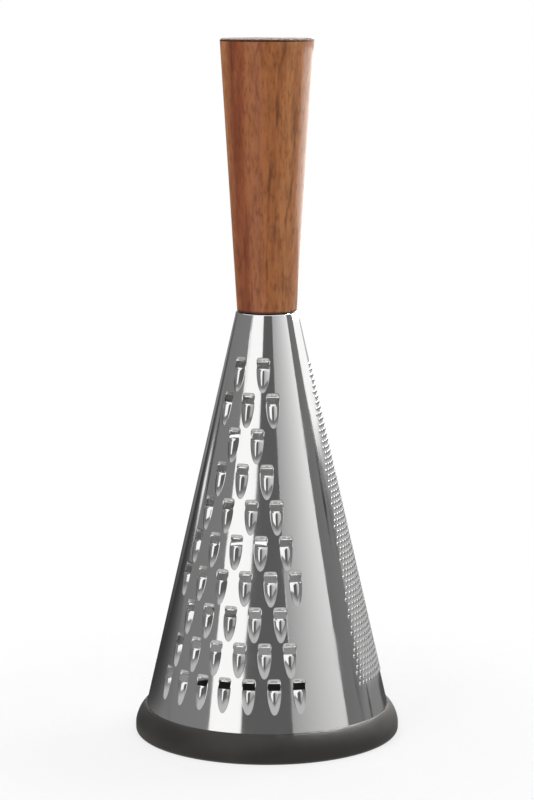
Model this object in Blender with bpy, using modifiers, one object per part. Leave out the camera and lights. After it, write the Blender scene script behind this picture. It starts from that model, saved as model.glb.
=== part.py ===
"""Conical hand grater: turned wooden handle, punched steel cone and rubber base ring.

Lengths are metres and +Z is up. The origin is the centre of the base ring's underside.
Angles round the cone are measured from -Y towards +X, so the coarse teeth face -Y.
"""

import math

import bmesh
import bpy
from mathutils import Vector
from mathutils.geometry import delaunay_2d_cdt

OBJECT_NAME = "round_grater"

# Fits
SEAT_GAP = 0.0003
SCREW_CLEARANCE = 0.0003

# Base ring: a rubber bead with a groove that holds the foot of the cone
RING_FLOOR = 0.0022
RING_OUTER_LIP = 0.0024
RING_LIP_HEIGHT = 0.011
RING_BELLY_HEIGHT = 0.0039
RING_INNER_WALL = 0.0042
RING_INNER_HEIGHT = 0.0085
RING_FOOT_ROUND = 0.0018
RING_EDGE_ROUND = 0.0008
RING_LIP_EDGE = 0.0003
RING_BELLY_POWER = 1.5
RING_BELLY_STEPS = 4

# Steel cone
CONE_HEIGHT = 0.1694
CONE_TOP_RADIUS = 0.0124
CONE_FOOT_RADIUS = 0.0511
SHEET = 0.0005
SHOULDER_RADIUS = 0.0012
NECK_HOLE_RADIUS = 0.008
WORKED_EDGE_SHARE = 0.4

# Coarse teeth, in rows round the cone that span a fixed angle
COARSE_ANGLE = math.radians(0.0)
COARSE_SPAN = math.radians(96.8)
COARSE_FIRST_LIP = 0.0214
COARSE_ROW_PITCH = 0.01403
COARSE_COLUMN_PITCH = 0.01004
COARSE_WIDTH = 0.0056
COARSE_RECESS = 0.0018
COARSE_SLOT = 0.00275
COARSE_SLOT_WIDTH = 0.0049
COARSE_SCOOP = 0.0096
COARSE_CREST = 0.0021
COARSE_LIP = 0.0014
COARSE_DIP = 0.0009
COARSE_FOOT_MARGIN = 0.004

# Slicing slots
SLICER_ANGLE = math.radians(-120.0)
SLICER_SPAN = math.radians(95.5)
SLICER_FIRST_LIP = 0.032
SLICER_ROW_PITCH = 0.0245
SLICER_COLUMN_PITCH = 0.0265
SLICER_WIDTH = 0.022
SLICER_RECESS = 0.003
SLICER_SLOT = 0.0022
SLICER_SLOT_WIDTH = 0.021
SLICER_SCOOP = 0.0085
SLICER_CREST = 0.0176
SLICER_LIP = 0.0015
SLICER_DIP = 0.0009
SLICER_FOOT_MARGIN = 0.006

# Form shared by the coarse teeth and the slicing slots: turns are angles round the scoop's ellipse
RECESS_TOP_SHARE = 0.75
SCOOP_MID_TURN = math.radians(40.0)
SCOOP_CROWN_TURN = math.radians(60.0)
SCOOP_TIP_TURN = math.radians(75.0)

# Fine punctures, in a panel that widens down the cone
FINE_ANGLE = math.radians(120.0)
FINE_TOP_WIDTH = 0.0146
FINE_FOOT_WIDTH = 0.071
FINE_TOP_MARGIN = 0.0214
FINE_FOOT_MARGIN = 0.0155
FINE_PITCH = 0.0060
FINE_BASE_RADIUS = 0.0012
FINE_HOLE_RADIUS = 0.00042
FINE_HEIGHT = 0.0006
FINE_SIDES = 3

# Handle
HANDLE_LENGTH = 0.1078
HANDLE_TOP_RADIUS = 0.0186
HANDLE_SETBACK = 0.00045
HANDLE_TOP_ROUND = 0.001
HANDLE_FOOT_ROUND = 0.0004

# Neck fastening: pressed cap inside the cone, washer, screw and insert in the handle
CAP_SHEET = 0.0008
CAP_SKIRT = 0.0055
CAP_SHOULDER_INSET = 0.0007
WASHER_RADIUS = 0.005
WASHER_THICKNESS = 0.001
SCREW_RADIUS = 0.0025
SCREW_LENGTH = 0.020
SCREW_HEAD_RADIUS = 0.0044
SCREW_HEAD_HEIGHT = 0.0028
SCREW_HEAD_ROUND = 0.0012
SCREW_TIP_CHAMFER = 0.0008
SOCKET_ACROSS_FLATS = 0.003
SOCKET_DEPTH = 0.0016
INSERT_LENGTH = 0.015
INSERT_RADIUS = 0.0037
INSERT_RIB = 0.0004
INSERT_RIBS = 3
INSERT_RIB_SLOPE = 0.7
INSERT_RIB_STEP = 0.05
BORE_TIP_ROOM = 0.002

# Facets along a scoop's crest
COARSE_CREST_STEPS = 1
SLICER_CREST_STEPS = 4

# Facets round a turned piece
FOOT_STEPS = 60
NECK_STEPS = 30
HANDLE_STEPS = 40
SMALL_STEPS = 18
ROUND_STEPS = 3
SOFT_EDGE_STEPS = 2
CHAMFER_STEPS = 1
SPIN_MERGE = 0.00001
SHARP_EDGE = math.radians(15.0)

# Lines down the rolled sheet between the teeth
LINE_STEP = 0.0005
LINE_MARGIN = 0.0005
LINE_SHORTEST = 0.014
SEAM_ROOM = 0.001
WELD_DISTANCE = 0.00002
FLAT_SLACK = 1e-6

# Values that follow from the sizes above
CONE_FOOT_Z = RING_FLOOR + SEAT_GAP
CONE_TOP_Z = CONE_FOOT_Z + CONE_HEIGHT
HALF_ANGLE = math.atan((CONE_FOOT_RADIUS - CONE_TOP_RADIUS) / CONE_HEIGHT)
APEX_Z = CONE_TOP_Z + CONE_TOP_RADIUS / math.tan(HALF_ANGLE)
EDGE_TURN = math.pi * math.sin(HALF_ANGLE)
CORNER_SLANT = CONE_TOP_RADIUS / math.sin(HALF_ANGLE)
FOOT_SLANT = CONE_FOOT_RADIUS / math.sin(HALF_ANGLE)
RING_TOP_SLANT = (APEX_Z - RING_LIP_HEIGHT) / math.cos(HALF_ANGLE)
BEND = math.pi / 2 - HALF_ANGLE
BEND_TANGENT = SHOULDER_RADIUS * math.tan(BEND / 2)
SIDE_SLANT = CORNER_SLANT + BEND_TANGENT
FLANGE_SLANT = SIDE_SLANT - SHOULDER_RADIUS * BEND
FLANGE_RADIUS = CONE_TOP_RADIUS - BEND_TANGENT
HOLE_SLANT = FLANGE_SLANT - (FLANGE_RADIUS - NECK_HOLE_RADIUS)
HANDLE_Z = CONE_TOP_Z + SEAT_GAP
CAP_TOP_Z = CONE_TOP_Z - SHEET - SEAT_GAP
WASHER_TOP_Z = CAP_TOP_Z - CAP_SHEET - SEAT_GAP
SCREW_SEAT_Z = WASHER_TOP_Z - WASHER_THICKNESS - SEAT_GAP
SCREW_TIP_Z = SCREW_SEAT_Z + SCREW_LENGTH
INSERT_FOOT_Z = HANDLE_Z + SEAT_GAP
INSERT_TOP_Z = INSERT_FOOT_Z + INSERT_LENGTH
BORE_TOP_Z = max(SCREW_TIP_Z, INSERT_TOP_Z) + BORE_TIP_ROOM
BORE_RADIUS = INSERT_RADIUS + INSERT_RIB + SEAT_GAP
SCREW_HOLE_RADIUS = SCREW_RADIUS + SCREW_CLEARANCE


def clear_scene():
    """Remove every object, so that the script gives the same result each run."""
    for old in list(bpy.data.objects):
        bpy.data.objects.remove(old, do_unlink=True)


def new_collection(name):
    """A collection under the scene's own."""
    collection = bpy.data.collections.new(name)
    bpy.context.scene.collection.children.link(collection)
    return collection


def make_material(name, colour, roughness, metallic):
    """A Principled material with the given base colour."""
    material = bpy.data.materials.new(name)
    material.use_nodes = True
    shader = material.node_tree.nodes["Principled BSDF"]
    shader.inputs["Base Color"].default_value = (*colour, 1.0)
    shader.inputs["Roughness"].default_value = roughness
    shader.inputs["Metallic"].default_value = metallic
    return material


def add_object(name, mesh, material, collection):
    """Link a mesh as a named piece with its material."""
    piece = bpy.data.objects.new(name, mesh)
    mesh.materials.append(material)
    collection.objects.link(piece)
    return piece


def shade(mesh):
    """Smooth shading with the sharp edges kept."""
    mesh.shade_smooth()
    mesh.set_sharp_from_angle(angle=SHARP_EDGE)


def turned(name, profile, steps, material, collection):
    """A turned piece: a profile in (radius, height), spun about Z by a Screw modifier.

    The profile runs down its outer side. A closed profile repeats its first point at the end.
    """
    closed = profile[0] == profile[-1]
    points = profile[:-1] if closed else profile
    mesh = bpy.data.meshes.new(name)
    edges = [(i, i + 1) for i in range(len(points) - 1)]
    if closed:
        edges.append((len(points) - 1, 0))
    mesh.from_pydata([(radius, 0.0, height) for radius, height in points], edges, [])
    piece = add_object(name, mesh, material, collection)
    screw = piece.modifiers.new("spin", "SCREW")
    screw.axis = "Z"
    screw.steps = steps
    screw.render_steps = steps
    screw.use_merge_vertices = True
    screw.merge_threshold = SPIN_MERGE
    screw.use_smooth_shade = True
    return piece


def arc(centre, radius, start_degrees, end_degrees, steps=ROUND_STEPS):
    """Points on an arc in the (radius, height) plane."""
    points = []
    for i in range(steps + 1):
        angle = math.radians(start_degrees + (end_degrees - start_degrees) * i / steps)
        points.append((centre[0] + radius * math.cos(angle), centre[1] + radius * math.sin(angle)))
    return points


def cone_radius(height, inset=0.0):
    """Radius of the cone's outer skin at a height, or of a surface inset square to it."""
    return (APEX_Z - height) * math.tan(HALF_ANGLE) - inset / math.cos(HALF_ANGLE)


def sheet_point(slant, angle, height):
    """Place of a point of the rolled sheet, raised by height over its outer skin."""
    if slant >= SIDE_SLANT:
        radius = slant * math.sin(HALF_ANGLE) + height * math.cos(HALF_ANGLE)
        z = APEX_Z - slant * math.cos(HALF_ANGLE) + height * math.sin(HALF_ANGLE)
    elif slant >= FLANGE_SLANT:
        turn = HALF_ANGLE + (SIDE_SLANT - slant) / SHOULDER_RADIUS
        radius = FLANGE_RADIUS + (SHOULDER_RADIUS + height) * math.cos(turn)
        z = CONE_TOP_Z - SHOULDER_RADIUS + (SHOULDER_RADIUS + height) * math.sin(turn)
    else:
        radius = FLANGE_RADIUS - (FLANGE_SLANT - slant)
        z = CONE_TOP_Z + height
    return Vector((radius * math.sin(angle), -radius * math.cos(angle), z))


class Tooth:
    """One punched form: an outline in the flat sheet, inner points and the faces between them.

    Local u runs across the tooth and v down the cone from its cutting edge. Inner points add
    a height over the sheet and whether the worked edge is thinned there.
    """

    def __init__(self, outline, inner, faces):
        self.outline = outline
        self.inner = inner
        self.faces = faces

    def reach(self):
        """Lowest and highest u and v of the outline."""
        us = [u for u, v in self.outline]
        vs = [v for u, v in self.outline]
        return min(us), max(us), min(vs), max(vs)


def row_of(half_width, steps):
    """Evenly spaced places across a width, from left to right."""
    return [half_width * (2 * i / steps - 1) for i in range(steps + 1)]


def bridge(points, upper, lower):
    """Triangles between two chains of points that both run from left to right."""
    faces = []
    i = 0
    j = 0
    while i < len(upper) - 1 or j < len(lower) - 1:
        at_end = j == len(lower) - 1
        if at_end or (i < len(upper) - 1
                      and points[upper[i + 1]][0] <= points[lower[j + 1]][0]):
            faces.append((upper[i], upper[i + 1], lower[j]))
            i += 1
        else:
            faces.append((upper[i], lower[j + 1], lower[j]))
            j += 1
    return faces


def pressed_tooth(width, recess, slot, slot_width, scoop, crest, crest_steps, lip, dip):
    """A form pressed round an open slot: a recess above it and a raised cutting scoop below.

    The slot's ends stay level with the sheet. The scoop is half an ellipse in plan and along
    its crest.
    """
    half = width / 2
    half_slot = slot_width / 2
    crest_row = row_of(crest / 2, crest_steps)
    top_row = row_of(half * RECESS_TOP_SHARE, crest_steps)

    def on_scoop(turn, u):
        return u * math.cos(turn), scoop * math.sin(turn), lip * math.cos(turn)

    def on_edge(turn, side):
        return side * half * math.cos(turn), scoop * math.sin(turn)

    outline = [(-half, -slot)] + [(u, -slot - recess) for u in top_row] + [(half, -slot)]
    turns = (0.0, SCOOP_MID_TURN, SCOOP_TIP_TURN)
    outline += [on_edge(turn, 1) for turn in turns]
    outline += [on_edge(turn, -1) for turn in reversed(turns)]
    inner = [(-half_slot, -slot, 0.0, False)]
    inner += [(u, -slot, -dip, False) for u in crest_row]
    inner += [(half_slot, -slot, 0.0, False), (-half_slot, 0.0, 0.0, False)]
    inner += [(*on_scoop(0.0, u), True) for u in crest_row]
    inner += [(half_slot, 0.0, 0.0, False)]
    inner += [(*on_scoop(SCOOP_MID_TURN, u), False) for u in crest_row]
    inner += [(*on_scoop(SCOOP_CROWN_TURN, 0.0), False)]

    side = len(crest_row) + 2
    tip = [side + 2, side + 3]
    first = len(outline)
    left_of = {"slot": 0, "lip": first - 1, "mid": first - 2}
    right_of = {"slot": side - 1, "lip": side, "mid": side + 1}
    above = list(range(first, first + side))
    below = [number + side for number in above]
    mids = list(range(below[-1] + 1, below[-1] + 1 + len(crest_row)))
    crown = mids[-1] + 1
    points = outline + inner
    faces = bridge(points, list(range(1, side - 1)),
                   [left_of["slot"]] + above + [right_of["slot"]])
    faces.append((left_of["slot"], above[0], below[0], left_of["lip"]))
    faces.append((above[-1], right_of["slot"], right_of["lip"], below[-1]))
    mid_row = [left_of["mid"]] + mids + [right_of["mid"]]
    faces += bridge(points, [left_of["lip"]] + below + [right_of["lip"]], mid_row)
    faces += bridge(points, mid_row, [tip[1], crown, tip[0]])
    faces.append((tip[1], crown, tip[0]))
    return Tooth(outline, inner, faces)


def fine_tooth():
    """A puncture with a burr raised round its hole."""
    outline = []
    inner = []
    faces = []
    for i in range(FINE_SIDES):
        angle = 2 * math.pi * i / FINE_SIDES
        outline.append((FINE_BASE_RADIUS * math.cos(angle), FINE_BASE_RADIUS * math.sin(angle)))
        inner.append((FINE_HOLE_RADIUS * math.cos(angle), FINE_HOLE_RADIUS * math.sin(angle),
                      FINE_HEIGHT, True))
        after = (i + 1) % FINE_SIDES
        faces.append((i, after, FINE_SIDES + after, FINE_SIDES + i))
    return Tooth(outline, inner, faces)


def flat_angle(angle):
    """Angle in the flat sheet for an angle round the cone."""
    return angle * math.sin(HALF_ANGLE)


def flat_point(slant, angle):
    """Point of the flat sheet for a slant distance from the apex and an angle round the cone."""
    turn = flat_angle(angle)
    return Vector((slant * math.sin(turn), slant * math.cos(turn)))


def arc_angle(length, slant):
    """Angle round the cone of an arc length at a slant distance."""
    return length / (slant * math.sin(HALF_ANGLE))


def tooth_point(angle, down, u, v):
    """Point of the flat sheet at (u, v) from the place of a tooth that points down the cone."""
    turn = flat_angle(angle)
    return Vector((u * math.cos(turn) + (down + v) * math.sin(turn),
                   (down + v) * math.cos(turn) - u * math.sin(turn)))


def row_places(centre, down, count, pitch):
    """Places of one row round the cone, as (angle, slant distance)."""
    return [(centre + arc_angle((i - (count - 1) / 2) * pitch, down), down)
            for i in range(count)]


def coarse_places():
    """Cutting-edge centres of the coarse teeth, in staggered rows as wide as the panel."""
    places = []
    row = 0
    down = CORNER_SLANT + COARSE_FIRST_LIP
    while down + COARSE_SCOOP + COARSE_FOOT_MARGIN < RING_TOP_SLANT:
        count = int(down * flat_angle(COARSE_SPAN) / COARSE_COLUMN_PITCH)
        if count % 2 != row % 2:
            count -= 1
        places += row_places(COARSE_ANGLE, down, count, COARSE_COLUMN_PITCH)
        row += 1
        down += COARSE_ROW_PITCH
    return places


def slicer_places():
    """Cutting-edge centres of the slicing slots."""
    places = []
    down = CORNER_SLANT + SLICER_FIRST_LIP
    while down + SLICER_SCOOP + SLICER_FOOT_MARGIN < RING_TOP_SLANT:
        count = max(1, int(down * flat_angle(SLICER_SPAN) / SLICER_COLUMN_PITCH))
        places += row_places(SLICER_ANGLE, down, count, SLICER_COLUMN_PITCH)
        down += SLICER_ROW_PITCH
    return places


def fine_places():
    """Centres of the fine punctures, on a triangular lattice inside the panel."""
    places = []
    top = CORNER_SLANT + FINE_TOP_MARGIN
    foot = RING_TOP_SLANT - FINE_FOOT_MARGIN
    row = 0
    down = top
    while down <= foot:
        share = (down - top) / (foot - top)
        width = FINE_TOP_WIDTH + (FINE_FOOT_WIDTH - FINE_TOP_WIDTH) * share
        count = int(width / FINE_PITCH) + 1
        if count % 2 != row % 2:
            count -= 1
        places += row_places(FINE_ANGLE, down, count, FINE_PITCH)
        row += 1
        down += FINE_PITCH * math.sqrt(3) / 2
    return places


class Blank:
    """The flat sheet before it is rolled: points, the edges that triangles keep, and teeth."""

    def __init__(self):
        self.points = []
        self.owner = []
        self.edges = []
        self.keep_out = []

    def add(self, point, owner=-1):
        """Add a point and return its number."""
        self.points.append(point)
        self.owner.append(owner)
        return len(self.points) - 1

    def chain(self, numbers, closed=False):
        """Keep the edges between successive points."""
        self.edges += list(zip(numbers, numbers[1:]))
        if closed:
            self.edges.append((numbers[-1], numbers[0]))

    def blocked(self, point, margin):
        """Whether a point lies on a tooth or within a margin of one."""
        for angle, down, reach in self.keep_out:
            turn = flat_angle(angle)
            u = point.x * math.cos(turn) - point.y * math.sin(turn)
            v = point.x * math.sin(turn) + point.y * math.cos(turn) - down
            if (reach[0] - margin < u < reach[1] + margin
                    and reach[2] - margin < v < reach[3] + margin):
                return True
        return False


def seam_distance(point):
    """Distance of a point of the flat sheet from the nearer straight edge."""
    return point.length * math.sin(EDGE_TURN - abs(math.atan2(point.x, point.y)))


def place_teeth(blank, tooth, places, teeth):
    """Put one tooth form at each place that the sheet has room for."""
    for angle, down in places:
        corners = [tooth_point(angle, down, u, v) for u, v in tooth.outline]
        if min(seam_distance(corner) for corner in corners) < SEAM_ROOM:
            continue
        outline = [blank.add(corner, len(teeth)) for corner in corners]
        blank.chain(outline, closed=True)
        blank.keep_out.append((angle, down, tooth.reach()))
        teeth.append((tooth, angle, down, outline))


def ring_of_points(blank, slant, steps):
    """An arc of the flat sheet from seam to seam."""
    numbers = []
    for i in range(steps + 1):
        numbers.append(blank.add(flat_point(slant, -math.pi + 2 * math.pi * i / steps)))
    blank.chain(numbers)
    return numbers


def free_runs(blank, angle, start, stop):
    """Stretches of a straight line down the cone that stay clear of the teeth."""
    runs = []
    first = None
    count = int((stop - start) / LINE_STEP)
    for i in range(count + 1):
        slant = start + (stop - start) * i / count
        free = not blank.blocked(flat_point(slant, angle), LINE_MARGIN)
        if free and first is None:
            first = slant
        if first is not None and (not free or i == count):
            if slant - first >= LINE_SHORTEST:
                runs.append((first, slant if free else slant - (stop - start) / count))
            first = None
    return runs


def draw_lines(blank, neck_ring, foot_ring):
    """Straight lines down the cone, along which the flat facets of the rolled sheet meet."""
    ratio = FOOT_STEPS // NECK_STEPS
    for i in range(FOOT_STEPS + 1):
        angle = -math.pi + 2 * math.pi * i / FOOT_STEPS
        from_neck = i % ratio == 0
        start = SIDE_SLANT if from_neck else SIDE_SLANT * ratio
        for top, bottom in free_runs(blank, angle, start, FOOT_SLANT):
            if from_neck and top == start:
                first = neck_ring[i // ratio]
            else:
                first = blank.add(flat_point(top, angle))
            last = foot_ring[i] if bottom == FOOT_SLANT else blank.add(flat_point(bottom, angle))
            blank.edges.append((first, last))


def clockwise(corners, places):
    """The corners in the order that faces out once the sheet is rolled."""
    area = 0.0
    for a, b in zip(corners, corners[1:] + corners[:1]):
        area += places[a].x * places[b].y - places[b].x * places[a].y
    return corners[::-1] if area > 0 else corners


def outside_blank(corners):
    """Whether a triangle lies past the neck hole's arc or along a straight edge of the sheet."""
    past_neck = all(corner.length < HOLE_SLANT + FLAT_SLACK for corner in corners)
    turns = [math.atan2(corner.x, corner.y) for corner in corners]
    limit = EDGE_TURN - FLAT_SLACK
    return past_neck or min(turns) > limit or max(turns) < -limit


def cone_mesh():
    """Lay out the flat sheet, punch it, press the teeth and roll it into a cone."""
    blank = Blank()
    teeth = []
    coarse = pressed_tooth(COARSE_WIDTH, COARSE_RECESS, COARSE_SLOT, COARSE_SLOT_WIDTH,
                           COARSE_SCOOP, COARSE_CREST, COARSE_CREST_STEPS,
                           COARSE_LIP, COARSE_DIP)
    slicer = pressed_tooth(SLICER_WIDTH, SLICER_RECESS, SLICER_SLOT, SLICER_SLOT_WIDTH,
                           SLICER_SCOOP, SLICER_CREST, SLICER_CREST_STEPS,
                           SLICER_LIP, SLICER_DIP)
    place_teeth(blank, coarse, coarse_places(), teeth)
    place_teeth(blank, slicer, slicer_places(), teeth)
    place_teeth(blank, fine_tooth(), fine_places(), teeth)

    mid_bend = (FLANGE_SLANT + SIDE_SLANT) / 2
    rings = [ring_of_points(blank, slant, NECK_STEPS)
             for slant in (HOLE_SLANT, FLANGE_SLANT, mid_bend, SIDE_SLANT)]
    for upper, lower in zip(rings, rings[1:]):
        blank.edges += list(zip(upper, lower))
    foot_ring = ring_of_points(blank, FOOT_SLANT, FOOT_STEPS)
    draw_lines(blank, rings[-1], foot_ring)

    result = delaunay_2d_cdt(blank.points, blank.edges, [], 0, FLAT_SLACK)
    flat, triangles, sources = result[0], result[2], result[3]
    owner = [blank.owner[source[0]] if source else -1 for source in sources]
    number_of = {source: i for i, group in enumerate(sources) for source in group}
    places = [Vector(point) for point in flat]
    heights = [0.0] * len(places)
    worked = []
    faces = []
    for triangle in triangles:
        owners = {owner[corner] for corner in triangle}
        if len(owners) == 1 and -1 not in owners:
            continue
        if outside_blank([places[corner] for corner in triangle]):
            continue
        faces.append(clockwise(list(triangle), places))

    for tooth, angle, down, outline in teeth:
        numbers = [number_of[corner] for corner in outline]
        for u, v, height, thinned in tooth.inner:
            numbers.append(len(places))
            if thinned:
                worked.append(len(places))
            places.append(tooth_point(angle, down, u, v))
            heights.append(height)
        for face in tooth.faces:
            faces.append(clockwise([numbers[corner] for corner in face], places))

    rolled = []
    for place, height in zip(places, heights):
        angle = math.atan2(place.x, place.y) / math.sin(HALF_ANGLE)
        rolled.append(sheet_point(place.length, angle, height))
    mesh = bpy.data.meshes.new("grater_cone")
    mesh.from_pydata(rolled, [], faces)
    return mesh, worked


def weld_seam(mesh):
    """Join the two straight edges of the rolled sheet and split every face into triangles."""
    work = bmesh.new()
    work.from_mesh(mesh)
    bmesh.ops.remove_doubles(work, verts=work.verts, dist=WELD_DISTANCE)
    bmesh.ops.triangulate(work, faces=work.faces)
    work.to_mesh(mesh)
    work.free()


def make_cone(material, collection):
    """The punched steel cone: one sheet, rolled, seam-welded and turned in at the neck."""
    mesh, worked = cone_mesh()
    piece = add_object("grater_cone", mesh, material, collection)
    group = piece.vertex_groups.new(name="worked_edge")
    group.add(worked, 1.0, "REPLACE")
    weld_seam(piece.data)
    shell = piece.modifiers.new("sheet", "SOLIDIFY")
    shell.thickness = SHEET
    shell.offset = -1.0
    shell.vertex_group = group.name
    shell.invert_vertex_group = True
    shell.thickness_vertex_group = WORKED_EDGE_SHARE
    shade(piece.data)
    return piece


def ring_profile():
    """Section of the base ring: belly, foot, inner wall and the groove for the sheet."""
    lip_inner = cone_radius(RING_LIP_HEIGHT) + SEAT_GAP
    lip_outer = lip_inner + RING_LIP_EDGE
    outer = CONE_FOOT_RADIUS + RING_OUTER_LIP
    points = []
    for i in range(RING_BELLY_STEPS + 1):
        turn = math.pi / 2 * i / RING_BELLY_STEPS
        share_out = math.sin(turn) ** (2 / RING_BELLY_POWER)
        share_up = math.cos(turn) ** (2 / RING_BELLY_POWER)
        points.append((lip_outer + (outer - lip_outer) * share_out,
                       RING_BELLY_HEIGHT + (RING_LIP_HEIGHT - RING_BELLY_HEIGHT) * share_up))
    foot = (outer - RING_FOOT_ROUND, RING_FOOT_ROUND)
    points += arc(foot, RING_FOOT_ROUND, 0.0, -90.0, SOFT_EDGE_STEPS)
    groove_top = cone_radius(RING_INNER_HEIGHT, SHEET + SEAT_GAP)
    inner = cone_radius(CONE_FOOT_Z, SHEET + SEAT_GAP) - RING_INNER_WALL
    points += arc((inner + RING_EDGE_ROUND, RING_EDGE_ROUND), RING_EDGE_ROUND,
                  -90.0, -180.0, CHAMFER_STEPS)
    points += [
        (groove_top - RING_EDGE_ROUND * 2, RING_INNER_HEIGHT - RING_EDGE_ROUND),
        (groove_top - RING_EDGE_ROUND, RING_INNER_HEIGHT),
        (groove_top, RING_INNER_HEIGHT),
        (cone_radius(RING_FLOOR, SHEET + SEAT_GAP), RING_FLOOR),
        (cone_radius(RING_FLOOR) + SEAT_GAP, RING_FLOOR),
        (lip_inner, RING_LIP_HEIGHT),
    ]
    return points + points[:1]


def handle_profile():
    """Section of the handle: plain taper with softened edges and a blind bore from below."""
    top_z = HANDLE_Z + HANDLE_LENGTH
    foot_radius = CONE_TOP_RADIUS - HANDLE_SETBACK
    points = [(0.0, top_z)]
    points += arc((HANDLE_TOP_RADIUS - HANDLE_TOP_ROUND, top_z - HANDLE_TOP_ROUND),
                  HANDLE_TOP_ROUND, 90.0, 0.0)
    points += arc((foot_radius - HANDLE_FOOT_ROUND, HANDLE_Z + HANDLE_FOOT_ROUND),
                  HANDLE_FOOT_ROUND, 0.0, -90.0, SOFT_EDGE_STEPS)
    points += [(BORE_RADIUS, HANDLE_Z), (BORE_RADIUS, BORE_TOP_Z), (0.0, BORE_TOP_Z)]
    return points


def cap_profile():
    """Section of the pressed cap: a flat disc with a skirt that follows the cone's inner wall."""
    disc_radius = cone_radius(CAP_TOP_Z, SHEET + SEAT_GAP) - CAP_SHOULDER_INSET
    bend_z = CAP_TOP_Z - CAP_SHOULDER_INSET
    foot_z = CAP_TOP_Z - CAP_SKIRT
    outer_foot = cone_radius(foot_z, SHEET + SEAT_GAP)
    outer_bend = cone_radius(bend_z, SHEET + SEAT_GAP)
    inner_bend = outer_bend - CAP_SHEET
    inner_z = CAP_TOP_Z - CAP_SHEET
    points = [
        (SCREW_HOLE_RADIUS, CAP_TOP_Z),
        (disc_radius, CAP_TOP_Z),
        (outer_bend, bend_z),
        (outer_foot, foot_z),
        (outer_foot - CAP_SHEET, foot_z),
        (inner_bend, inner_z),
        (SCREW_HOLE_RADIUS, inner_z),
    ]
    return points + points[:1]


def washer_profile():
    """Section of the flat washer."""
    points = [
        (SCREW_HOLE_RADIUS, WASHER_TOP_Z),
        (WASHER_RADIUS, WASHER_TOP_Z),
        (WASHER_RADIUS, WASHER_TOP_Z - WASHER_THICKNESS),
        (SCREW_HOLE_RADIUS, WASHER_TOP_Z - WASHER_THICKNESS),
    ]
    return points + points[:1]


def screw_profile():
    """Section of the screw: tip, plain shank and a rounded head below its seat."""
    head_z = SCREW_SEAT_Z - SCREW_HEAD_HEIGHT
    points = [(0.0, SCREW_TIP_Z), (SCREW_RADIUS - SCREW_TIP_CHAMFER, SCREW_TIP_Z)]
    points += [(SCREW_RADIUS, SCREW_TIP_Z - SCREW_TIP_CHAMFER), (SCREW_RADIUS, SCREW_SEAT_Z)]
    points += [(SCREW_HEAD_RADIUS, SCREW_SEAT_Z)]
    points += arc((SCREW_HEAD_RADIUS - SCREW_HEAD_ROUND, head_z + SCREW_HEAD_ROUND),
                  SCREW_HEAD_ROUND, 0.0, -90.0)
    points += [(0.0, head_z)]
    return points


def insert_profile():
    """Section of the insert: a sleeve with barbed ribs that bite into the wood."""
    pitch = INSERT_LENGTH / INSERT_RIBS
    points = [(SCREW_HOLE_RADIUS, INSERT_TOP_Z)]
    for i in range(INSERT_RIBS):
        rib_top = INSERT_TOP_Z - i * pitch
        points.append((INSERT_RADIUS, rib_top))
        rib_foot = rib_top - pitch * INSERT_RIB_SLOPE
        points.append((INSERT_RADIUS + INSERT_RIB, rib_foot))
        if i < INSERT_RIBS - 1:
            points.append((INSERT_RADIUS, rib_foot - pitch * INSERT_RIB_STEP))
    points += [(INSERT_RADIUS + INSERT_RIB, INSERT_FOOT_Z), (SCREW_HOLE_RADIUS, INSERT_FOOT_Z)]
    return points + points[:1]


def cut_socket(screw, cutters):
    """Cut a hexagonal socket into the underside of the screw's head."""
    bpy.ops.mesh.primitive_cylinder_add(
        vertices=6, radius=SOCKET_ACROSS_FLATS / math.sqrt(3), depth=SOCKET_DEPTH * 2,
        location=(0.0, 0.0, SCREW_SEAT_Z - SCREW_HEAD_HEIGHT))
    socket = bpy.context.active_object
    socket.name = "socket_cutter"
    socket.hide_render = True
    socket.display_type = "WIRE"
    for collection in list(socket.users_collection):
        collection.objects.unlink(socket)
    cutters.objects.link(socket)
    cut = screw.modifiers.new("socket", "BOOLEAN")
    cut.operation = "DIFFERENCE"
    cut.solver = "EXACT"
    cut.object = socket


def main():
    clear_scene()
    parts = new_collection(OBJECT_NAME)
    cutters = new_collection(OBJECT_NAME + "_cutters")
    steel = make_material("polished_steel", (0.62, 0.62, 0.61), 0.12, 1.0)
    plate_steel = make_material("plate_steel", (0.52, 0.52, 0.51), 0.3, 1.0)
    screw_steel = make_material("zinc_screw", (0.5, 0.51, 0.52), 0.32, 1.0)
    washer_steel = make_material("zinc_washer", (0.55, 0.55, 0.54), 0.35, 1.0)
    brass = make_material("brass", (0.62, 0.43, 0.17), 0.35, 1.0)
    wood = make_material("oiled_wood", (0.25, 0.11, 0.05), 0.5, 0.0)
    rubber = make_material("black_rubber", (0.035, 0.032, 0.028), 0.6, 0.0)
    turned("handle", handle_profile(), HANDLE_STEPS, wood, parts)
    turned("base_ring", ring_profile(), FOOT_STEPS, rubber, parts)
    turned("top_cap", cap_profile(), NECK_STEPS, plate_steel, parts)
    turned("washer", washer_profile(), SMALL_STEPS, washer_steel, parts)
    turned("threaded_insert", insert_profile(), SMALL_STEPS, brass, parts)
    screw = turned("fixing_screw", screw_profile(), SMALL_STEPS, screw_steel, parts)
    cut_socket(screw, cutters)
    make_cone(steel, parts)


main()
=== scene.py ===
import math
import random

import bmesh
import bpy
import numpy as np
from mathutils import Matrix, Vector
from mathutils.geometry import delaunay_2d_cdt


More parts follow.
